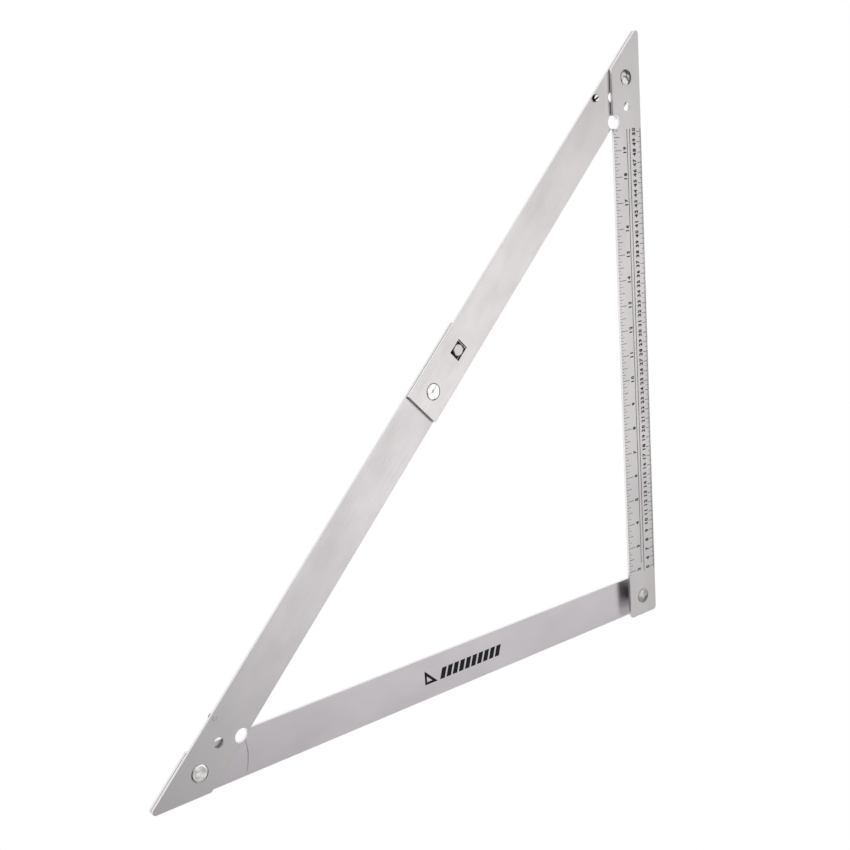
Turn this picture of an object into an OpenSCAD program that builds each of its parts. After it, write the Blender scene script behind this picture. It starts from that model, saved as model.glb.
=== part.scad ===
// Folding frame square: two legs hinged at 90 degrees, held open by a two-piece brace
// that folds at its middle. Lies flat, +Z up, scale side up.
// All modules work in square coordinates: the outer right-angle corner is at X 0, Y 0,
// the scale leg runs along +Y and the plain leg runs along -X. place() moves them to the frame.

/* [Frame] */
// Outside length of each leg
leg_len = 600; // [400:10:900]
// Width of every bar
bar_w = 40; // [36:1:50]
// Thickness of every bar
bar_t = 2.8; // [2.4:0.1:3.2]
// Clear space between two neighbouring bars, taken up by the washers
layer_gap = 0.5; // [0.45:0.05:0.8]
// Plan radius of the two sharp tips
tip_r = 3; // [2:0.5:5]
// Plan radius of the square bar ends
end_r = 4; // [2:0.5:6]

/* [Pivots] */
// Shank radius of the rivets
shank_r = 4; // [3:0.25:5]
// Running clearance between a shank and the bar that turns on it
run_c = 0.05; // [0.02:0.01:0.1]
// Head radius of the rivets
head_r = 7.5; // [6.5:0.25:8]
// Height of the two domed heads on the scale leg
dome_h = 1.7; // [1.2:0.1:2.4]
// Outer radius of the washers and of the corner spacer
washer_r = 9; // [8:0.5:11]

/* [Brace] */
// Length of the upper brace past the centre rivet
upper_tail = 19.8; // [14:0.1:25]
// Length of the lower brace past the centre rivet
lower_tail = 64; // [60:1:80]
// Distance from the centre rivet to the latch button
latch_s = 46; // [44:0.2:48]
// Latch window in the upper brace, along the bar
latch_l = 15.4; // [13.4:0.2:16]
// Latch window in the upper brace, across the bar
latch_w = 12.4; // [12:0.2:14]
// Radius of the latch button
button_r = 5.6; // [4.5:0.1:5.8]

/* [Holes] */
// Distance from the top rivet to the scale leg's small hole, and from the base rivet to the lower brace's
small_s = 27.5; // [24:0.5:30]
// Distance from the top rivet to the upper brace's small hole
upper_small_s = 25.6; // [24:0.2:30]
// Distance from the base rivet to the plain leg's small hole
plain_small_s = 22.5; // [20:0.5:30]
// Radius of the small holes
small_r = 4.5; // [3:0.25:5]
// Distance from a corner rivet to the relief hole, on the bisector of the 45 degree corner
relief_d = 45.1; // [44:0.1:47]
// Radius of the relief holes
relief_r = 6.7; // [5.5:0.1:7.2]

/* [Stops] */
// Distance along the brace from its corner rivet to the stop screw
stop_s = 42; // [41:0.2:43]
// Offset of the stop screw from the middle of the bar, towards the outer edge
stop_off = 15.8; // [15:0.1:16]
// Head radius of the stop screws
stop_r = 3.6; // [3:0.1:4]
// Width of the slots in the stop screws
slot_w = 1.4; // [0.8:0.1:1.6]

/* [Hidden] */
$fn = 96;

pitch = bar_t + layer_gap;
z_leg2 = 0;                    // underside of the plain leg
z_low = pitch;                 // underside of the lower brace
z_up = 2 * pitch;              // underside of the upper brace
z_leg1 = 3 * pitch;            // underside of the scale leg
h = bar_w / 2;
q = sqrt(0.5);
reach = leg_len - h - h * sqrt(2);       // Y of the top rivet, -X of the base rivet
arm = reach - h;                         // corner rivet to top rivet
half = arm * q;                          // corner of the brace to its centre rivet
mid = (h + reach) / 2;                   // the centre rivet is at (-mid, mid)
ext = leg_len - tip_r * sqrt(2);         // how far the rounded tips reach
gap_c = 0.08;                            // axial play between a washer and the next bar

PA = [-h, h];
PB = [-h, reach];
PC = [-reach, h];
PM = [-mid, mid];

alu = [0.80, 0.79, 0.79];
steel = [0.72, 0.72, 0.74];
nylon = [0.20, 0.20, 0.21];

// square coordinates to the frame: origin at the middle of the part's footprint
module place() { translate([ext / 2, -ext / 2, 0]) children(); }

// unit vector from a to b
function unit(a, b) = let (d = b - a) d / norm(d);

// convex outline p with a radius r[i] at each corner, made of a polygon and true circles
module rounded(p, r) {
    n = len(p);
    c = [for (i = [0 : n - 1])
        let (v = p[i], a = unit(v, p[(i + n - 1) % n]), b = unit(v, p[(i + 1) % n]),
             t = acos(a * b), l = r[i] / tan(t / 2))
        [v + a * l, v + b * l, v + (a + b) / norm(a + b) * r[i] / sin(t / 2)]];
    polygon([for (i = [0 : n - 1]) each [c[i][0], c[i][1]]]);
    for (i = [0 : n - 1]) translate(c[i][2]) circle(r[i]);
}

module slab(z, t) { translate([0, 0, z]) linear_extrude(t) children(); }
module drill(p, r, z = 0, t = bar_t) { translate([p[0], p[1], z - 1]) cylinder(r = r, h = t + 2); }

// from a bar's own line to the square: origin at pivot p, local +X along angle a
module along(p, a) { translate([p[0], p[1], 0]) rotate([0, 0, a]) children(); }

// point on the bisector of a 45 degree corner
function relief(p, a) = p + relief_d * [cos(a), sin(a)];

// seat for a flush tail formed on the underside of a bar
module tail_seat(p, z, c = 0) {
    translate([p[0], p[1], z - 0.01]) cylinder(r1 = shank_r + 2.2 + c, r2 = shank_r + c, h = 1.41);
}

// flush tail of a rivet, in the seat
module tail(z) { translate([0, 0, z]) cylinder(r1 = shank_r + 2.0, r2 = shank_r, h = 1.28); }

// shallow dome on a straight rim, of radius r and height e
module dome(r, e, rim) {
    cylinder(r = r, h = rim);
    big = (r * r + (e - rim) * (e - rim)) / (2 * (e - rim));
    translate([0, 0, rim]) intersection() {
        translate([0, 0, e - rim - big]) sphere(big, $fn = 128);
        cylinder(r = r, h = e);
    }
}

// the four bars ------------------------------------------------------------

module scale_leg() place() color(alu) difference() {
    slab(z_leg1, bar_t) rounded([[-bar_w, 0], [0, 0], [0, leg_len], [-bar_w, leg_len - bar_w]],
                                [end_r, end_r, tip_r, 0.6]);
    drill(PA, shank_r, z_leg1);
    drill(PB, shank_r, z_leg1);
    drill(PB - [0, small_s], small_r, z_leg1);
    drill(relief(PB, 247.5), relief_r, z_leg1);
}

module plain_leg() place() color(alu) difference() {
    slab(z_leg2, bar_t) rounded([[0, bar_w], [-leg_len + bar_w, bar_w], [-leg_len, 0], [0, 0]],
                                [end_r, 0.6, tip_r, end_r]);
    drill(PA, shank_r + run_c, z_leg2);
    drill(PC, shank_r + run_c, z_leg2);
    tail_seat(PA, z_leg2, run_c);
    tail_seat(PC, z_leg2, run_c);
    drill(PC + [plain_small_s, 0], small_r, z_leg2);
    drill(relief(PC, 22.5), relief_r, z_leg2);
    // shallow arc scribed round the base rivet, from the relief hole to the outer edge
    intersection() {
        translate([PC[0], PC[1], z_leg2 + bar_t - 0.15]) difference() {
            cylinder(r = 47.2, h = 1);
            translate([0, 0, -1]) cylinder(r = 46.8, h = 3);
        }
        translate([PC[0] + 40, 4, 0]) cube([12, 30, 10]);
    }
}

module upper_brace() place() color(alu) difference() {
    slab(z_up, bar_t) rounded([[0, leg_len], brace_pt(h, half + upper_tail), brace_pt(-h, half + upper_tail),
                               [0, leg_len - bar_w * sqrt(2)]],
                              [tip_r, 0.8, 0.8, 2]);
    drill(PB, shank_r + run_c, z_up);
    tail_seat(PB, z_up, run_c);
    drill(PM, shank_r, z_up);
    // seat for the head of the centre rivet
    translate([PM[0], PM[1], z_up + bar_t - 0.8]) cylinder(r = head_r + 0.25, h = 2);
    drill(PB - upper_small_s * [q, q], small_r, z_up);
    drill(relief(PB, 247.5), relief_r, z_up);
    // tapped hole of the stop screw
    along(PB, 225) translate([stop_s, -stop_off, z_up - 1]) cylinder(r = 2, h = bar_t + 2);
    // latch window
    along(PM, 45) translate([latch_s - latch_l / 2, -latch_w / 2, z_up - 1]) cube([latch_l, latch_w, bar_t + 2]);
}

// point on the upper brace: u across it, outer edge at +h, v along it from the top rivet
function brace_pt(u, v) = PB - v * [q, q] + u * [-q, q];

module lower_brace() place() color(alu) difference() {
    slab(z_low, bar_t) rounded([[-leg_len, 0], [-leg_len + bar_w * sqrt(2), 0],
                                lower_pt(-h, half + lower_tail), lower_pt(h, half + lower_tail)],
                               [tip_r, 2, end_r, end_r]);
    drill(PC, shank_r, z_low);
    // seat for the head of the base rivet
    translate([PC[0], PC[1], z_low + bar_t - 0.8]) cylinder(r = head_r + 0.25, h = 2);
    drill(PM, shank_r, z_low);
    tail_seat(PM, z_low);
    drill(PC + small_s * [q, q], small_r, z_low);
    drill(relief(PC, 22.5), relief_r, z_low);
    along(PC, 45) translate([stop_s, stop_off, z_low - 1]) cylinder(r = 2, h = bar_t + 2);
    // window that the latch spring and its button move in, and the seat of the spring's foot
    along(PM, 45) {
        translate([spring_a, -6.5, z_low - 1]) cube([latch_s + 7.9 - spring_a, 13, bar_t + 2]);
        translate([spring_a - foot_l, -6.5, z_low - 1]) cube([foot_l + 1, 13, 1 + foot_d]);
        for (v = [-3, 3]) translate([spring_a - foot_l / 2, v, z_low - 1]) cylinder(r = 1, h = bar_t + 2);
    }
}
function lower_pt(u, v) = PC + v * [q, q] + u * [-q, q];

// corner rivet: scale leg, spacer, plain leg --------------------------------

module corner_rivet() place() color(steel) translate([PA[0], PA[1], 0]) {
    translate([0, 0, z_leg1 + bar_t]) dome(head_r, dome_h, 0.5);
    translate([0, 0, 0.02]) cylinder(r = shank_r, h = z_leg1 + bar_t - 0.02);
    tail(0.02);
}
module ring(p, z0, z1, r, c = run_c) {
    translate([p[0], p[1], z0]) difference() {
        cylinder(r = r, h = z1 - z0);
        translate([0, 0, -1]) cylinder(r = shank_r + c, h = z1 - z0 + 2);
    }
}
module corner_spacer() place() color(nylon) ring(PA, z_leg2 + bar_t + layer_gap, z_leg1, washer_r);
module corner_washer() place() color(nylon) ring(PA, z_leg2 + bar_t + gap_c, z_leg2 + bar_t + layer_gap, washer_r);

// top rivet: scale leg and upper brace

module top_rivet() place() color(steel) translate([PB[0], PB[1], 0]) {
    translate([0, 0, z_leg1 + bar_t]) dome(head_r, dome_h, 0.5);
    translate([0, 0, z_up + 0.02]) cylinder(r = shank_r, h = z_leg1 + bar_t - z_up - 0.02);
    tail(z_up + 0.02);
}
module top_washer() place() color(nylon) ring(PB, z_up + bar_t + gap_c, z_leg1, washer_r);

// base rivet: lower brace and plain leg. Its head is let into the brace so that the
// upper brace passes over it when the frame is folded.

module let_in_head() {
    difference() {
        cylinder(r = head_r, h = 1.2);
        // shallow dish in the top of the head
        translate([0, 0, 60 + 1.2 - 0.12]) sphere(60, $fn = 128);
    }
}
module base_rivet() place() color(steel) translate([PC[0], PC[1], 0]) {
    translate([0, 0, z_low + bar_t - 0.8]) let_in_head();
    translate([0, 0, z_leg2 + 0.02]) cylinder(r = shank_r, h = z_low + bar_t - 0.8 - z_leg2 - 0.02);
    tail(z_leg2 + 0.02);
}
module base_washer() place() color(nylon) ring(PC, z_leg2 + bar_t + gap_c, z_low, washer_r);

// centre rivet, split between the two braces at the space between them

module centre_rivet_head() place() color(steel) translate([PM[0], PM[1], 0]) {
    translate([0, 0, z_up + bar_t - 0.8]) let_in_head();
    translate([0, 0, z_up - layer_gap / 2 + 0.05]) cylinder(r = shank_r, h = bar_t - 0.8 + layer_gap / 2 - 0.05);
}
module centre_rivet_tail() place() color(steel) translate([PM[0], PM[1], 0]) {
    translate([0, 0, z_low]) cylinder(r = shank_r, h = bar_t + 0.05);
    tail(z_low);
}
module centre_washer() place() color(nylon) ring(PM, z_low + bar_t + gap_c, z_up, washer_r);

// stop screws: each sits in the leg's relief hole when the frame is folded ------

module stop_screw(head, flip) {
    mirror([0, 0, flip]) {
        difference() {
            union() {
                cylinder(r = stop_r, h = head - 0.5);
                translate([0, 0, head - 0.5]) cylinder(r1 = stop_r, r2 = stop_r - 0.5, h = 0.5);
                translate([0, 0, -bar_t]) cylinder(r = 2, h = bar_t + 0.1);
            }
            rotate([0, 0, -13]) translate([-5, -slot_w / 2, head - 1.3]) cube([10, slot_w, 2]);
        }
    }
}
module upper_stop_screw() place() color(steel)
    along(PB, 225) translate([stop_s, -stop_off, z_up + bar_t]) stop_screw(2.4, 0);
module lower_stop_screw() place() color(steel)
    along(PC, 45) translate([stop_s, stop_off, z_low]) stop_screw(2.4, 1);

// latch: a button staked to a spring strip, in a window of the lower brace ------

spring_t = 0.4;
foot_d = 0.5;                      // depth of the seat for the spring's foot
foot_l = 9;
spring_a = 21;                     // where the window starts, from the centre rivet
top_z = z_up - 0.06;               // top of the strip under the button
module latch_button() place() color(steel) along(PM, 45) translate([latch_s, 0, 0]) {
    translate([0, 0, top_z]) {
        cylinder(r = button_r, h = z_up + bar_t - top_z - 0.6);
        translate([0, 0, z_up + bar_t - top_z - 0.6]) cylinder(r1 = button_r, r2 = button_r - 0.6, h = 0.6);
    }
    translate([0, 0, top_z - spring_t - 0.3]) cylinder(r = 1.5, h = 0.31 + spring_t);
}
module latch_spring() place() color(steel) along(PM, 45) difference() {
    x0 = spring_a - foot_l + 0.3;
    x1 = latch_s - 7.5;
    zb = z_low + 0.04;
    translate([0, 6, 0]) rotate([90, 0, 0]) linear_extrude(12) polygon([
        [x0, zb], [spring_a + 0.8, zb], [x1 + 0.2, top_z - spring_t], [latch_s + 7.4, top_z - spring_t],
        [latch_s + 7.4, top_z], [x1, top_z], [spring_a + 0.6, zb + spring_t], [x0, zb + spring_t]]);
    translate([latch_s, 0, 0]) cylinder(r = 1.5, h = 20);
    for (v = [-3, 3]) translate([spring_a - foot_l / 2, v, 0]) cylinder(r = 1, h = 20);
}
module latch_spring_rivets() place() color(steel) along(PM, 45)
    for (v = [-3, 3]) translate([spring_a - foot_l / 2, v, z_low + 0.04]) cylinder(r = 1, h = bar_t - 0.08);

scale_leg();
plain_leg();
upper_brace();
lower_brace();
corner_rivet();
corner_spacer();
corner_washer();
top_rivet();
top_washer();
base_rivet();
base_washer();
centre_rivet_head();
centre_rivet_tail();
centre_washer();
upper_stop_screw();
lower_stop_screw();
latch_button();
latch_spring();
latch_spring_rivets();
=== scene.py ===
import math

import bmesh
import bpy
from mathutils import Matrix, Vector


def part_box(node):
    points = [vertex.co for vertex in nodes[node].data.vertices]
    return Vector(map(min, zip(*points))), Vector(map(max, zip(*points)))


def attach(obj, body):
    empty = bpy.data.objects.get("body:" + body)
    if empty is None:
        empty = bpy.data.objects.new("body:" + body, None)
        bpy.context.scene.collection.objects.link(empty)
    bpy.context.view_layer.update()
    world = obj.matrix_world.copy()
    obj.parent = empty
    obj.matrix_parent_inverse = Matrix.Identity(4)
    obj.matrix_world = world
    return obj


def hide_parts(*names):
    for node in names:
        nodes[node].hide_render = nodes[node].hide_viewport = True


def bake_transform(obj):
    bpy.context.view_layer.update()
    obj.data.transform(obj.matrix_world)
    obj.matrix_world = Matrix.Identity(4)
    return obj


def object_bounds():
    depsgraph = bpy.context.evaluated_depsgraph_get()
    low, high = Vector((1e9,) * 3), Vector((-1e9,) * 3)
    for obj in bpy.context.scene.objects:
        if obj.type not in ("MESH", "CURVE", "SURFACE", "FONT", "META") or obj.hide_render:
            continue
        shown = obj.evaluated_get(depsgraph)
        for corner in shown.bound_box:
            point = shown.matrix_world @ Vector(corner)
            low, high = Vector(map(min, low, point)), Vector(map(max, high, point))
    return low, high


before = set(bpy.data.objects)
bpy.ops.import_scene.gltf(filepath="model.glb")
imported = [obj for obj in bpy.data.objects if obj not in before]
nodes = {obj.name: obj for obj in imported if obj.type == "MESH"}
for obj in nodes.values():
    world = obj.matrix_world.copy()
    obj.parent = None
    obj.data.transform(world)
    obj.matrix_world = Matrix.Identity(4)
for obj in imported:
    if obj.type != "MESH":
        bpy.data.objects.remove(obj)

cad_lo, cad_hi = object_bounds()
scene = bpy.context.scene
MM = 0.001


def centre(node):
    lo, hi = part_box(node)
    return (lo + hi) / 2


# Places on the part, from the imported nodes. The square's outer corner is O; the scale
# leg runs along +Y from it and the plain leg along -X.
A, B = centre("corner_rivet"), centre("top_rivet")
C, M = centre("base_rivet"), centre("centre_rivet_head")
LATCH = centre("latch_button")
O = Vector((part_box("scale_leg")[1].x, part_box("plain_leg")[0].y, 0))
TOP_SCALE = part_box("scale_leg")[1].z
TOP_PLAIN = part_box("plain_leg")[1].z
TOP_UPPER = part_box("upper_brace")[1].z
TOP_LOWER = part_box("lower_brace")[1].z
BOT_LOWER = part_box("lower_brace")[0].z
ALONG = (B - C).normalized()
ALONG.z = 0
ALONG.normalize()
DIAG = math.atan2(ALONG.y, ALONG.x)


# materials ---------------------------------------------------------------------

def new_material(name):
    mat = bpy.data.materials.new(name)
    mat.use_nodes = True
    nt = mat.node_tree
    nt.nodes.clear()
    out = nt.nodes.new("ShaderNodeOutputMaterial")
    bsdf = nt.nodes.new("ShaderNodeBsdfPrincipled")
    nt.links.new(bsdf.outputs["BSDF"], out.inputs["Surface"])
    return mat, nt, bsdf


def object_coords(nt, angle, scale, centre_at=(0, 0, 0)):
    """Object coordinates moved to centre_at, turned so that local X runs along the grain, then scaled."""
    tc = nt.nodes.new("ShaderNodeTexCoord")
    first = nt.nodes.new("ShaderNodeMapping")
    first.vector_type = "TEXTURE"
    first.inputs["Location"].default_value = centre_at
    first.inputs["Rotation"].default_value = (0, 0, angle)
    second = nt.nodes.new("ShaderNodeMapping")
    second.inputs["Scale"].default_value = scale
    nt.links.new(tc.outputs["Object"], first.inputs["Vector"])
    nt.links.new(first.outputs["Vector"], second.inputs["Vector"])
    return second.outputs["Vector"]


def noise(nt, vector, scale, detail=2.0, rough=0.5):
    n = nt.nodes.new("ShaderNodeTexNoise")
    n.inputs["Scale"].default_value = scale
    n.inputs["Detail"].default_value = detail
    n.inputs["Roughness"].default_value = rough
    nt.links.new(vector, n.inputs["Vector"])
    return n.outputs["Fac"]


def ramp(nt, value, lo, hi, a, b):
    r = nt.nodes.new("ShaderNodeMapRange")
    r.inputs["From Min"].default_value = lo
    r.inputs["From Max"].default_value = hi
    r.inputs["To Min"].default_value = a
    r.inputs["To Max"].default_value = b
    nt.links.new(value, r.inputs["Value"])
    return r.outputs["Result"]


def mix_colour(nt, fac, c1, c2, blend="MIX"):
    m = nt.nodes.new("ShaderNodeMix")
    m.data_type = "RGBA"
    m.blend_type = blend
    if isinstance(fac, float):
        m.inputs[0].default_value = fac
    else:
        nt.links.new(fac, m.inputs[0])
    for socket, c in ((m.inputs[6], c1), (m.inputs[7], c2)):
        if isinstance(c, tuple):
            socket.default_value = (*c, 1)
        else:
            nt.links.new(c, socket)
    return m.outputs[2]


def maths(nt, op, a, b=None):
    m = nt.nodes.new("ShaderNodeMath")
    m.operation = op
    for k, x in enumerate((a, b)):
        if x is None:
            continue
        if isinstance(x, (int, float)):
            m.inputs[k].default_value = x
        else:
            nt.links.new(x, m.inputs[k])
    return m.outputs[0]


def bar_aluminium(name, angle, at, tint=(0.885, 0.865, 0.868)):
    """Satin aluminium flat bar: fine lengthwise rolling grain, soft handling smudges, sparse scratches."""
    mat, nt, b = new_material(name)
    b.inputs["Metallic"].default_value = 1.0
    fine = noise(nt, object_coords(nt, angle, (9, 900, 900), at), 1.0, 5.0, 0.62)
    wide = noise(nt, object_coords(nt, angle, (3, 60, 60), at), 1.0, 3.0, 0.5)
    smudge = noise(nt, object_coords(nt, angle, (14, 26, 26), at), 1.0, 4.0, 0.6)
    # sparse hairline scratches, a little off the grain
    hair = noise(nt, object_coords(nt, angle + 0.09, (16, 1500, 40), at), 1.0, 2.0, 0.5)
    scratch = ramp(nt, hair, 0.70, 0.76, 0.0, 1.0)
    base = tint
    dark = tuple(0.945 * c for c in tint)
    col = mix_colour(nt, ramp(nt, fine, 0.3, 0.7, 0.0, 1.0), dark, base)
    col = mix_colour(nt, ramp(nt, smudge, 0.42, 0.75, 0.0, 0.35), col, tuple(0.91 * c for c in tint))
    nt.links.new(col, b.inputs["Base Color"])
    r = ramp(nt, fine, 0.3, 0.7, 0.35, 0.41)
    r = maths(nt, "ADD", r, ramp(nt, smudge, 0.35, 0.7, -0.02, 0.035))
    r = maths(nt, "ADD", r, maths(nt, "MULTIPLY", scratch, 0.08))
    nt.links.new(r, b.inputs["Roughness"])
    height = maths(nt, "ADD", maths(nt, "MULTIPLY", fine, 0.6), maths(nt, "MULTIPLY", wide, 0.5))
    height = maths(nt, "SUBTRACT", height, maths(nt, "MULTIPLY", scratch, 0.5))
    bump = nt.nodes.new("ShaderNodeBump")
    bump.inputs["Strength"].default_value = 0.22
    bump.inputs["Distance"].default_value = 0.00003
    nt.links.new(height, bump.inputs["Height"])
    nt.links.new(bump.outputs["Normal"], b.inputs["Normal"])
    return mat


def formed_metal(name, colour, rough, at, marks=0.5, rings=0.0):
    """Bright formed rivet or turned button: near-mirror, small dents and faint rings round its middle."""
    mat, nt, b = new_material(name)
    b.inputs["Metallic"].default_value = 1.0
    v = object_coords(nt, 0.0, (1, 1, 1), at)
    dents = noise(nt, v, 420.0, 2.0, 0.5)
    spots = noise(nt, v, 900.0, 3.0, 0.6)
    sep = nt.nodes.new("ShaderNodeSeparateXYZ")
    nt.links.new(v, sep.inputs[0])
    rr = maths(nt, "SQRT", maths(nt, "ADD", maths(nt, "MULTIPLY", sep.outputs[0], sep.outputs[0]),
                                 maths(nt, "MULTIPLY", sep.outputs[1], sep.outputs[1])))
    wave = maths(nt, "SINE", maths(nt, "MULTIPLY", rr, 12000.0))
    nt.links.new(mix_colour(nt, ramp(nt, spots, 0.55, 0.75, 0.0, 0.6), colour,
                            tuple(0.62 * c for c in colour)), b.inputs["Base Color"])
    r = maths(nt, "ADD", ramp(nt, spots, 0.3, 0.7, rough, rough + 0.07), maths(nt, "MULTIPLY", wave, 0.01))
    nt.links.new(r, b.inputs["Roughness"])
    height = maths(nt, "ADD", maths(nt, "MULTIPLY", dents, marks), maths(nt, "MULTIPLY", wave, rings))
    bump = nt.nodes.new("ShaderNodeBump")
    bump.inputs["Strength"].default_value = 0.5
    bump.inputs["Distance"].default_value = 0.0002
    nt.links.new(height, bump.inputs["Height"])
    nt.links.new(bump.outputs["Normal"], b.inputs["Normal"])
    return mat


def screw_metal(name, colour, at, face, way):
    """Screw with a bright turned face; its side and the inside of its slot are painted near-black as shade."""
    mat, nt, b = new_material(name)
    b.inputs["Metallic"].default_value = 1.0
    tc = nt.nodes.new("ShaderNodeTexCoord")
    pos = nt.nodes.new("ShaderNodeSeparateXYZ")
    nt.links.new(tc.outputs["Object"], pos.inputs[0])
    nrm = nt.nodes.new("ShaderNodeSeparateXYZ")
    nt.links.new(tc.outputs["Normal"], nrm.inputs[0])
    # masks for the turned face; the deep slot and the sideways walls fall outside them and get painted shade
    depth = maths(nt, "MULTIPLY", maths(nt, "SUBTRACT", face, pos.outputs[2]), way)
    shallow = ramp(nt, depth, 0.0005, 0.0008, 1.0, 0.0)
    facing = ramp(nt, maths(nt, "MULTIPLY", nrm.outputs[2], way), 0.45, 0.75, 0.0, 1.0)
    shank_end = ramp(nt, depth, 0.003, 0.0032, 0.0, 0.75)
    outside_painted_shade = maths(nt, "MAXIMUM", maths(nt, "MULTIPLY", shallow, facing), shank_end)
    n = noise(nt, object_coords(nt, 0.0, (1, 1, 1), at), 700.0, 3.0)
    face_col = mix_colour(nt, ramp(nt, n, 0.4, 0.7, 0.0, 0.7), colour, tuple(0.7 * c for c in colour))
    # near-black painted shade on the side and in the slot, plated colour on the turned face
    nt.links.new(mix_colour(nt, outside_painted_shade, (0.012, 0.012, 0.012), face_col), b.inputs["Base Color"])
    nt.links.new(ramp(nt, outside_painted_shade, 0.0, 1.0, 0.45, 0.16), b.inputs["Roughness"])
    bump = nt.nodes.new("ShaderNodeBump")
    bump.inputs["Strength"].default_value = 0.3
    bump.inputs["Distance"].default_value = 0.0001
    nt.links.new(n, bump.inputs["Height"])
    nt.links.new(bump.outputs["Normal"], b.inputs["Normal"])
    return mat


def nylon(name):
    # black is the washers' and corner spacer's own colour, and it also serves as painted shade in the gaps between the
    # stacked bars
    mat, nt, b = new_material(name)
    v = object_coords(nt, 0.0, (1, 1, 1))
    n = noise(nt, v, 1200.0, 3.0)
    nt.links.new(mix_colour(nt, n, (0.012, 0.012, 0.013), (0.03, 0.03, 0.032)), b.inputs["Base Color"])
    nt.links.new(ramp(nt, n, 0.3, 0.7, 0.42, 0.58), b.inputs["Roughness"])
    bump = nt.nodes.new("ShaderNodeBump")
    bump.inputs["Strength"].default_value = 0.2
    bump.inputs["Distance"].default_value = 0.00005
    nt.links.new(n, bump.inputs["Height"])
    nt.links.new(bump.outputs["Normal"], b.inputs["Normal"])
    return mat


def black_steel(name, at):
    """Blackened spring steel: dark oxide with a faint lengthwise grain; its near-black also serves as painted shade
    seen through the latch window.
    """
    mat, nt, b = new_material(name)
    b.inputs["Specular IOR Level"].default_value = 0.35
    g = noise(nt, object_coords(nt, DIAG, (30, 900, 900), at), 1.0, 3.0)
    nt.links.new(mix_colour(nt, g, (0.006, 0.006, 0.007), (0.022, 0.021, 0.021)), b.inputs["Base Color"])
    nt.links.new(ramp(nt, g, 0.3, 0.7, 0.42, 0.55), b.inputs["Roughness"])
    bump = nt.nodes.new("ShaderNodeBump")
    bump.inputs["Strength"].default_value = 0.2
    bump.inputs["Distance"].default_value = 0.00003
    nt.links.new(g, bump.inputs["Height"])
    nt.links.new(bump.outputs["Normal"], b.inputs["Normal"])
    return mat


def print_ink(name, dark=0.012):
    """Pad-printed black ink, very slightly worn and uneven."""
    mat, nt, b = new_material(name)
    v = object_coords(nt, 0.0, (1, 1, 1))
    n = noise(nt, v, 1500.0, 3.0, 0.6)
    nt.links.new(mix_colour(nt, ramp(nt, n, 0.45, 0.75, 0.0, 1.0), (dark, dark, dark * 1.1),
                            (dark + 0.03, dark + 0.03, dark + 0.032)), b.inputs["Base Color"])
    nt.links.new(ramp(nt, n, 0.3, 0.7, 0.5, 0.62), b.inputs["Roughness"])
    b.inputs["Specular IOR Level"].default_value = 0.3
    return mat


# CAD nodes: kept as they are, with a small edge radius and smooth round walls ------

def finish_node(name, mat, bevel=0.25):
    o = nodes[name]
    me = o.data
    for a in ("custom_normal",):
        if a in me.attributes:
            me.attributes.remove(me.attributes[a])
    for p in me.polygons:
        p.use_smooth = True
    me.materials.clear()
    me.materials.append(mat)
    weld = o.modifiers.new("weld", "WELD")
    weld.merge_threshold = 2e-6
    flat = o.modifiers.new("flat", "DECIMATE")
    flat.decimate_type = "DISSOLVE"
    flat.angle_limit = math.radians(0.4)
    bev = o.modifiers.new("edge", "BEVEL")
    bev.width = bevel * MM
    bev.segments = 2
    bev.limit_method = "ANGLE"
    bev.angle_limit = math.radians(32)
    bev.use_clamp_overlap = False
    bev.harden_normals = True
    bev.miter_outer = "MITER_ARC"
    return o


finish_node("scale_leg", bar_aluminium("alu_scale_leg", math.pi / 2, tuple(A), (0.885, 0.862, 0.866)), 0.16)
finish_node("plain_leg", bar_aluminium("alu_plain_leg", 0.0, tuple(C), (0.885, 0.852, 0.884)), 0.16)
finish_node("upper_brace", bar_aluminium("alu_upper_brace", DIAG, tuple(B), (0.89, 0.862, 0.862)), 0.16)
finish_node("lower_brace", bar_aluminium("alu_lower_brace", DIAG, tuple(M), (0.862, 0.838, 0.845)), 0.16)

STEEL = (0.93, 0.925, 0.93)
HEAD_MATS = {
    "corner_rivet": formed_metal("rivet_corner_rivet", (0.66, 0.65, 0.645), 0.33, tuple(A), 0.4, 0.02),
    "top_rivet": formed_metal("rivet_top_rivet", (0.66, 0.65, 0.64), 0.22, tuple(B), 0.5, 0.02),
    "base_rivet": formed_metal("rivet_base_rivet", (0.93, 0.93, 0.91), 0.20, tuple(C), 0.2, 0.02),
    "centre_rivet_head": formed_metal("rivet_centre_rivet_head", (0.85, 0.84, 0.84), 0.12, tuple(M), 0.3, 0.02)}
finish_node("centre_rivet_tail", formed_metal("rivet_centre_rivet_tail", (0.93, 0.93, 0.92), 0.16, tuple(M), 0.4, 0.03),
            0.18)
for n in HEAD_MATS:
    finish_node(n, HEAD_MATS[n], 0.18)
# stop screws: bright turned faces, with painted shade on their sides and in their slots
for n, face, way in (("upper_stop_screw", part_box("upper_stop_screw")[1].z, 1),
                     ("lower_stop_screw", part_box("lower_stop_screw")[0].z, -1)):
    finish_node(n, screw_metal("plated_" + n, STEEL, tuple(centre(n)), face, way), 0.15)
finish_node("latch_button", formed_metal("plated_button", (0.66, 0.625, 0.635), 0.28, tuple(LATCH), 0.4, 0.03), 0.12)
finish_node("latch_spring_rivets", formed_metal("spring_pins", STEEL, 0.3, tuple(centre("latch_spring_rivets"))), 0.1)
# washers and corner spacer in black nylon: their own colour, also used as painted shade in the gaps between the layers
black_nylon_and_gap_shade = nylon("washer_nylon_black_gap_shade")
for n in ("corner_spacer", "corner_washer", "top_washer", "base_washer", "centre_washer"):
    finish_node(n, black_nylon_and_gap_shade, 0.08)


# mesh helpers --------------------------------------------------------------------

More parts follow.
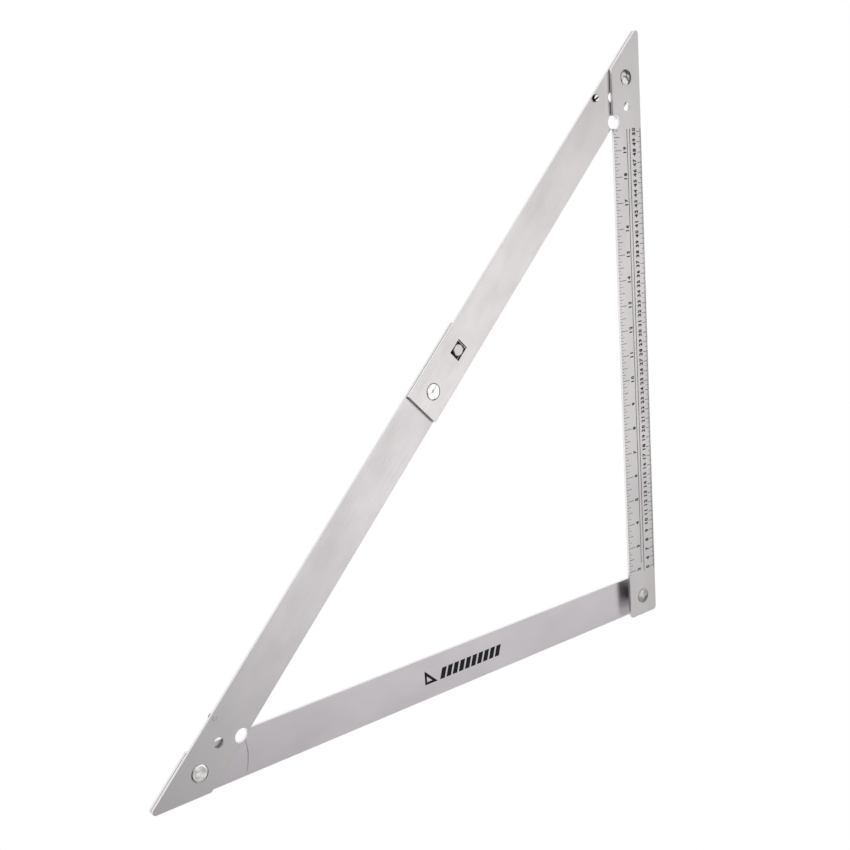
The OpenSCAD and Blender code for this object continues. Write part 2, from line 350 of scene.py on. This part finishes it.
def mesh_object(name, bm, mat, smooth=False):
    bmesh.ops.recalc_face_normals(bm, faces=bm.faces)
    me = bpy.data.meshes.new(name)
    bm.to_mesh(me)
    bm.free()
    if smooth:
        for p in me.polygons:
            p.use_smooth = True
    me.materials.append(mat)
    ob = bpy.data.objects.new(name, me)
    scene.collection.objects.link(ob)
    return ob


def prism(bm, outline, z0, z1):
    """Closed prism on a plan outline, points in the row frame in metres."""
    low = [bm.verts.new((x, y, z0)) for x, y in outline]
    top = [bm.verts.new((x, y, z1)) for x, y in outline]
    bm.faces.new(low[::-1])
    bm.faces.new(top)
    for k in range(len(outline)):
        j = (k + 1) % len(outline)
        bm.faces.new((low[k], low[j], top[j], top[k]))


def rect_prism(bm, x0, x1, y0, y1, z0, z1):
    prism(bm, [(x0, y0), (x1, y0), (x1, y1), (x0, y1)], z0, z1)


INK_UP, INK_DOWN = 0.025 * MM, 0.04 * MM      # printed film: a thin closed solid bedded in the face


# rivet heads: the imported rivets' own sizes, with hammered, slightly uneven heads --------

BODY_OF = {"corner_rivet": "scale_leg", "top_rivet": "scale_leg", "base_rivet": "lower_brace",
           "centre_rivet_head": "upper_brace"}
HEAD_R = (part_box("base_rivet")[1].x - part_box("base_rivet")[0].x) / 2 / MM
SHANK_R = 4


def dents(x, y, count, size, width, turn):
    """Sum of shallow dimples and rises spread over the head, in mm."""
    total = 0.0
    for k in range(count):
        r = HEAD_R * 0.92 * math.sqrt((k + 0.5) / count)
        a = 2.39996 * k + turn
        dx, dy = x - r * math.cos(a), y - r * math.sin(a)
        w = width * (1.0 + 0.3 * math.sin(3.1 * k + turn))
        total += size * (1 if k % 2 else -1) * (0.7 + 0.3 * math.cos(5.3 * k + turn)) * math.exp(-(dx * dx + dy * dy) / (2 * w * w))
    return total


def formed_rivet(node, under, crown, uneven, lean=(0.0, 0.0)):
    """One turned solid: under = (radius, height) up to the rim from below, crown = rings over the head, in mm."""
    at = centre(node)
    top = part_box(node)[1].z / MM
    count = 72
    bm = bmesh.new()
    rings = []
    for r, z in under:
        rings.append([(r * math.cos(2 * math.pi * k / count), r * math.sin(2 * math.pi * k / count), z)
                      for k in range(count)])
    for r, z in crown:
        ring = []
        for k in range(count):
            x, y = r * math.cos(2 * math.pi * k / count), r * math.sin(2 * math.pi * k / count)
            fade = min(1.0, (HEAD_R - r) / 0.8)
            h = z + fade * dents(x, y, *uneven) + lean[0] * x + lean[1] * y
            ring.append((x, y, min(h, top - 0.01)))
        rings.append(ring)
    made = [[bm.verts.new((at.x + x * MM, at.y + y * MM, z * MM)) for x, y, z in ring] for ring in rings]
    for low, high in zip(made, made[1:]):
        for k in range(count):
            j = (k + 1) % count
            bm.faces.new((low[k], low[j], high[j], high[k]))
    bm.faces.new(made[0][::-1])
    tip = sum(v.co.z for v in made[-1]) / count
    peak = bm.verts.new((at.x, at.y, tip))
    for k in range(count):
        bm.faces.new((made[-1][k], made[-1][(k + 1) % count], peak))
    ob = mesh_object(node + "_formed", bm, HEAD_MATS[node], smooth=True)
    me = ob.data
    me.set_sharp_from_angle(angle=math.radians(40))
    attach(ob, BODY_OF[node])
    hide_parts(node)
    return ob


def crown_rings(base, heights):
    """Rings from the rim inwards: heights = (distance from the rim, height above base)."""
    rings = [(HEAD_R - d, base + h) for d, h in heights]
    last_r, last_h = rings[-1]
    steps = 9
    for k in range(1, steps):
        rings.append((last_r * (1 - k / steps), last_h))
    return rings


for name, leg in (("corner_rivet", "plain_leg"), ("top_rivet", "upper_brace")):
    foot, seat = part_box(name)[0].z / MM, TOP_SCALE / MM
    under = [(SHANK_R + 2.0, foot), (SHANK_R, foot + 1.28), (SHANK_R, seat), (HEAD_R, seat), (HEAD_R, seat + 0.42)]
    crown = [(r, seat + 0.5 + 0.95 * (1 - (r / HEAD_R) ** 2)) for r in
             [HEAD_R * q for q in (0.985, 0.95, 0.9, 0.84, 0.77, 0.7, 0.62, 0.54, 0.46, 0.38, 0.3, 0.22, 0.14, 0.06)]]
    formed_rivet(name, under, crown, (13, 0.22, 1.15, 0.9) if name == "top_rivet" else (11, 0.17, 1.4, 2.2))
for name, low, lean, uneven in (("base_rivet", 0.02, (-0.010, -0.022), (9, 0.07, 1.6, 1.2)),
                                ("centre_rivet_head", 0.10, (0.0, 0.0), (11, 0.27, 1.15, 0.4))):
    foot, rim_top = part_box(name)[0].z / MM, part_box(name)[1].z / MM
    seat = rim_top - 1.2
    if name == "base_rivet":
        under = [(SHANK_R + 2.0, foot), (SHANK_R, foot + 1.28)]
    else:
        under = [(SHANK_R, foot)]
    under += [(SHANK_R, seat), (HEAD_R, seat), (HEAD_R, seat + 0.72)]
    formed_rivet(name, under, crown_rings(seat, ((0.12, 0.82), (0.4, 0.95), (0.8, 1.05), (1.3, 1.08 - low))),
                 uneven, lean)


# the printed scale on the scale leg ------------------------------------------------

def own(x, y):
    """Scale leg coordinates (x from the outer edge, negative inwards; y from the outer corner), in mm."""
    return O.x + x * MM, O.y + y * MM


BAR_W = (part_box("scale_leg")[1].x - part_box("scale_leg")[0].x) / MM
Z0, Z1 = TOP_SCALE - INK_DOWN, TOP_SCALE + INK_UP
EDGE = 0.35                                    # marks stop just short of the rounded edges


def glyphs():
    """Meshes of the ten digits as closed solids: name -> (verts, faces, width), height 1, standing on y 0."""
    made = {}
    for d in "0123456789":
        cu = bpy.data.curves.new("digit_" + d, "FONT")
        cu.body = d
        cu.size = 1.0
        cu.offset = 0.048
        cu.extrude = 0.5
        cu.resolution_u = 4
        ob = bpy.data.objects.new("digit_" + d, cu)
        scene.collection.objects.link(ob)
        dg = bpy.context.evaluated_depsgraph_get()
        me = bpy.data.meshes.new_from_object(ob.evaluated_get(dg))
        bm = bmesh.new()
        bm.from_mesh(me)
        bmesh.ops.remove_doubles(bm, verts=bm.verts, dist=1e-5)
        xs = [v.co.x for v in bm.verts]
        ys = [v.co.y for v in bm.verts]
        h = max(ys) - min(ys)
        mid, base = (max(xs) + min(xs)) / 2, min(ys)
        bm.verts.index_update()
        verts = [((v.co.x - mid) / h, (v.co.y - base) / h, 1.0 if v.co.z > 0 else 0.0) for v in bm.verts]
        faces = [[v.index for v in f.verts] for f in bm.faces]
        made[d] = (verts, faces, (max(xs) - min(xs)) / h)
        bm.free()
        bpy.data.meshes.remove(me)
        bpy.data.objects.remove(ob)
        bpy.data.curves.remove(cu)
    return made


DIGITS = glyphs()


def number(bm, text, x_foot, y_mid, height, pitch, squeeze=1.0):
    """A number reading along +y with its digits' tops towards -x, centred on y_mid."""
    for k, d in enumerate(text):
        verts, faces, _ = DIGITS[d]
        yc = y_mid + (k - (len(text) - 1) / 2) * pitch
        made = []
        for gx, gy, gz in verts:
            px, py = own(x_foot - gy * height, yc + gx * height * squeeze)
            made.append(bm.verts.new((px, py, Z1 if gz > 0.5 else Z0)))
        for f in faces:
            bm.faces.new([made[i] for i in f])


ink = print_ink("print_black")
FIRST, LAST = 47, 503

bm = bmesh.new()
for mm in range(FIRST, LAST + 1):
    long = 7.0 if mm % 10 == 0 else 3.9 if mm % 5 == 0 else 2.5
    t = 0.27 if mm % 10 == 0 else 0.25 if mm % 5 == 0 else 0.19
    x0, y0 = own(-long, mm - t)
    x1, y1 = own(-EDGE, mm + t)
    rect_prism(bm, x0, x1, y0, y1, Z0, Z1)
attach(mesh_object("scale_print_cm_ticks", bm, ink), "scale_leg")

bm = bmesh.new()
for cm in range(5, 51):
    number(bm, str(cm), -8.5, cm * 10, 4.9, 4.0, 1.0)
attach(mesh_object("scale_print_cm_numbers", bm, ink), "scale_leg")

bm = bmesh.new()
k = math.ceil(FIRST / 25.4 * 8)
while k * 25.4 / 8 <= LAST:
    y = k * 25.4 / 8
    reach = 10.5 if k % 8 == 0 else 8.0 if k % 4 == 0 else 5.5 if k % 2 == 0 else 2.8
    t = 0.26 if k % 8 == 0 else 0.24 if k % 4 == 0 else 0.2
    x0, y0 = own(-BAR_W + EDGE, y - t)
    x1, y1 = own(-BAR_W + reach, y + t)
    rect_prism(bm, x0, x1, y0, y1, Z0, Z1)
    k += 1
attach(mesh_object("scale_print_inch_ticks", bm, ink), "scale_leg")

bm = bmesh.new()
for inch in range(2, 20):
    number(bm, str(inch), -22.6, inch * 25.4, 4.6, 4.0, 1.02)
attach(mesh_object("scale_print_inch_numbers", bm, ink), "scale_leg")

bm = bmesh.new()
for x, y0, y1 in ((-21.0, 57.0, 503.0), (-17.0, 47.0, 503.0)):
    xa, ya = own(x - 0.36, y0)
    xb, yb = own(x + 0.36, y1)
    rect_prism(bm, xa, xb, ya, yb, Z0, Z1)
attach(mesh_object("scale_print_lines", bm, ink), "scale_leg")


# plain generic mark on the plain leg: a set square and a row of slanted blocks --------

bm = bmesh.new()
zp0, zp1 = TOP_PLAIN - INK_DOWN, TOP_PLAIN + INK_UP
y0, hgt, x = 14.2, 10.6, -314.0
# open right triangle, as one closed ring solid
outer = [(x, y0), (x + 15.0, y0), (x, y0 + hgt + 3.2)]
inner = [(x + 2.4, y0 + 2.4), (x + 8.6, y0 + 2.4), (x + 2.4, y0 + hgt - 2.6)]
ring = []
for pts in (outer, inner):
    for z in (zp0, zp1):
        ring.append([bm.verts.new((*own(*p), z)) for p in pts])
ol, ot, il, it = ring
for k in range(3):
    j = (k + 1) % 3
    bm.faces.new((ot[k], ot[j], it[j], it[k]))
    bm.faces.new((ol[j], ol[k], il[k], il[j]))
    bm.faces.new((ol[k], ol[j], ot[j], ot[k]))
    bm.faces.new((il[j], il[k], it[k], it[j]))
x += 18.0
for k in range(10):
    w = 5.6
    prism(bm, [own(x, y0), own(x + w, y0), own(x + w + 3.4, y0 + hgt), own(x + 3.4, y0 + hgt)], zp0, zp1)
    x += w + 2.1
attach(mesh_object("plain_leg_generic_mark", bm, ink), "plain_leg")


# latch spring: a bent strip with rounded bends, from its riveted foot to the button --------

def spring_strip():
    lo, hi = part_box("latch_spring")
    pins = centre("latch_spring_rivets")
    s_of = lambda p: (Vector((p.x, p.y, 0)) - Vector((M.x, M.y, 0))).dot(ALONG)
    s_pin, s_button = s_of(pins), s_of(LATCH)
    # the pad runs on to just short of the window's far end, so the latch window shows the near-black strip as painted
    # shade and not the brace's top face
    s0, s1 = s_pin - 4.2 * MM, s_button + 7.4 * MM
    rise0, rise1 = s_pin + 5.3 * MM, s_button - 7.5 * MM
    z_foot, z_pad, t = lo.z, hi.z - 0.4 * MM, 0.4 * MM
    side = Vector((-ALONG.y, ALONG.x, 0))
    n = 72
    rows = []
    for k in range(n + 1):
        s = s0 + (s1 - s0) * k / n
        u = min(max((s - rise0) / (rise1 - rise0), 0), 1)
        z = z_foot + (z_pad - z_foot) * (u * 0.35 + 0.65 * u * u * (3 - 2 * u)) if 0 < u < 1 else (
            z_foot if u <= 0 else z_pad)
        # the free end's corners are slightly rounded in plan
        half = 6.0 * MM
        end = (s1 - s) / (1.0 * MM)
        if end < 1:
            half -= 0.5 * MM * (1 - end) ** 2
        rows.append((s, z, half))
    bm = bmesh.new()
    across = [-1, -0.96, -0.5, 0, 0.5, 0.96, 1]
    grid = {}
    for k, (s, z, half) in enumerate(rows):
        for j, v in enumerate(across):
            p = Vector((M.x, M.y, 0)) + ALONG * s + side * (half * v)
            inset = 0.08 * MM if abs(v) == 1 else 0
            grid[k, j, 0] = bm.verts.new((p.x, p.y, z + inset))
            grid[k, j, 1] = bm.verts.new((p.x, p.y, z + t - inset))
    m = len(across) - 1
    for k in range(n):
        for j in range(m):
            bm.faces.new((grid[k, j, 1], grid[k + 1, j, 1], grid[k + 1, j + 1, 1], grid[k, j + 1, 1]))
            bm.faces.new((grid[k, j, 0], grid[k, j + 1, 0], grid[k + 1, j + 1, 0], grid[k + 1, j, 0]))
        for j in (0, m):
            bm.faces.new((grid[k, j, 0], grid[k + 1, j, 0], grid[k + 1, j, 1], grid[k, j, 1]))
    for k in (0, n):
        for j in range(m):
            bm.faces.new((grid[k, j, 0], grid[k, j + 1, 0], grid[k, j + 1, 1], grid[k, j, 1]))
    # near-black spring steel: its own oxide, also painted shade in the latch window
    ob = mesh_object("latch_spring_strip", bm,
                     black_steel("spring_steel_black_window_shade", tuple(LATCH)), smooth=True)
    end = Vector((M.x, M.y, 0)) + ALONG * rise1
    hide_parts("latch_spring")
    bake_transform(ob)
    return ob


spring_strip()


# floor, light, camera ----------------------------------------------------------------

bm = bmesh.new()
bmesh.ops.create_circle(bm, cap_ends=True, segments=96, radius=12.0)
floor = mesh_object("floor", bm, bpy.data.materials.new("floor_paper"))
floor.location.z = cad_lo.z - 0.0004
mat = floor.data.materials[0]
mat.use_nodes = True
nt = mat.node_tree
nt.nodes.clear()
out = nt.nodes.new("ShaderNodeOutputMaterial")
em = nt.nodes.new("ShaderNodeEmission")
em.inputs["Color"].default_value = (1, 1, 1, 1)
em.inputs["Strength"].default_value = 1.0
nt.links.new(em.outputs[0], out.inputs["Surface"])

# A soft studio dome: one broad bright area up and behind the part, dimmer towards the camera's side.
world = bpy.data.worlds.new("studio")
scene.world = world
world.use_nodes = True
nt = world.node_tree
nt.nodes.clear()
tc = nt.nodes.new("ShaderNodeTexCoord")


def lobe(direction, sigma, strength):
    d = Vector(direction).normalized()
    dot = nt.nodes.new("ShaderNodeVectorMath")
    dot.operation = "DOT_PRODUCT"
    dot.inputs[1].default_value = d
    nt.links.new(tc.outputs["Generated"], dot.inputs[0])
    x = maths(nt, "DIVIDE", maths(nt, "SUBTRACT", dot.outputs["Value"], 1.0), math.radians(sigma) ** 2)
    return maths(nt, "MULTIPLY", maths(nt, "EXPONENT", x), strength)


def soft_box(direction, half_width, strength):
    """A light with a flat middle and definite, softened edges."""
    dot = nt.nodes.new("ShaderNodeVectorMath")
    dot.operation = "DOT_PRODUCT"
    dot.inputs[1].default_value = Vector(direction).normalized()
    nt.links.new(tc.outputs["Generated"], dot.inputs[0])
    away = maths(nt, "DIVIDE", maths(nt, "SUBTRACT", 1.0, dot.outputs["Value"]), 1 - math.cos(math.radians(half_width)))
    away = maths(nt, "MULTIPLY", maths(nt, "MULTIPLY", away, away), -1.0)
    return maths(nt, "MULTIPLY", maths(nt, "EXPONENT", away), strength)


AMBIENT = 0.035
KEY = ((0.568, -0.110, 0.812), 20.8, 1.35)   # a broad soft box up and behind the part
LOBES = (
    ((0.404, -0.742, 0.5), 9.0, 0.80),       # a second soft light on the plain leg's side
    ((-0.72, 0.16, 0.68), 9.0, 1.10),        # small fill beside the camera
    ((-0.05, 0.17, 0.97), 6.0, 1.10),        # small overhead light
    ((0.0, 0.87, 0.50), 20.0, 0.55),         # low soft light on the other three sides
    ((0.0, -0.94, 0.34), 14.0, 0.55),
    ((-0.94, 0.0, 0.34), 14.0, 0.45),
)
level = maths(nt, "ADD", soft_box(*KEY), AMBIENT)
for direction, sigma, strength in LOBES:
    level = maths(nt, "ADD", lobe(direction, sigma, strength), level)
bg = nt.nodes.new("ShaderNodeBackground")
nt.links.new(level, bg.inputs["Strength"])
bg.inputs["Color"].default_value = (1, 0.985, 0.985, 1)
white = nt.nodes.new("ShaderNodeBackground")
white.inputs["Strength"].default_value = 1.0
path = nt.nodes.new("ShaderNodeLightPath")
mixs = nt.nodes.new("ShaderNodeMixShader")
nt.links.new(path.outputs["Is Camera Ray"], mixs.inputs[0])
nt.links.new(bg.outputs[0], mixs.inputs[1])
nt.links.new(white.outputs[0], mixs.inputs[2])
out = nt.nodes.new("ShaderNodeOutputWorld")
nt.links.new(mixs.outputs[0], out.inputs["Surface"])

cam_data = bpy.data.cameras.new("camera")
cam = bpy.data.objects.new("camera", cam_data)
scene.collection.objects.link(cam)
scene.camera = cam
right = Vector((0.76618, -0.068801, 0.638932))
up = Vector((0.185576, 0.975581, -0.117484))
back = Vector((-0.615247, 0.208584, 0.760239))
cam.matrix_world = Matrix((
    (right.x, up.x, back.x, -0.66985),
    (right.y, up.y, back.y, 0.18721),
    (right.z, up.z, back.z, 0.83687),
    (0, 0, 0, 1)))
cam_data.sensor_width = 36
cam_data.lens = 52.13
cam_data.clip_start = 0.02
cam_data.clip_end = 60

scene.view_settings.view_transform = "Standard"
scene.view_settings.look = "None"
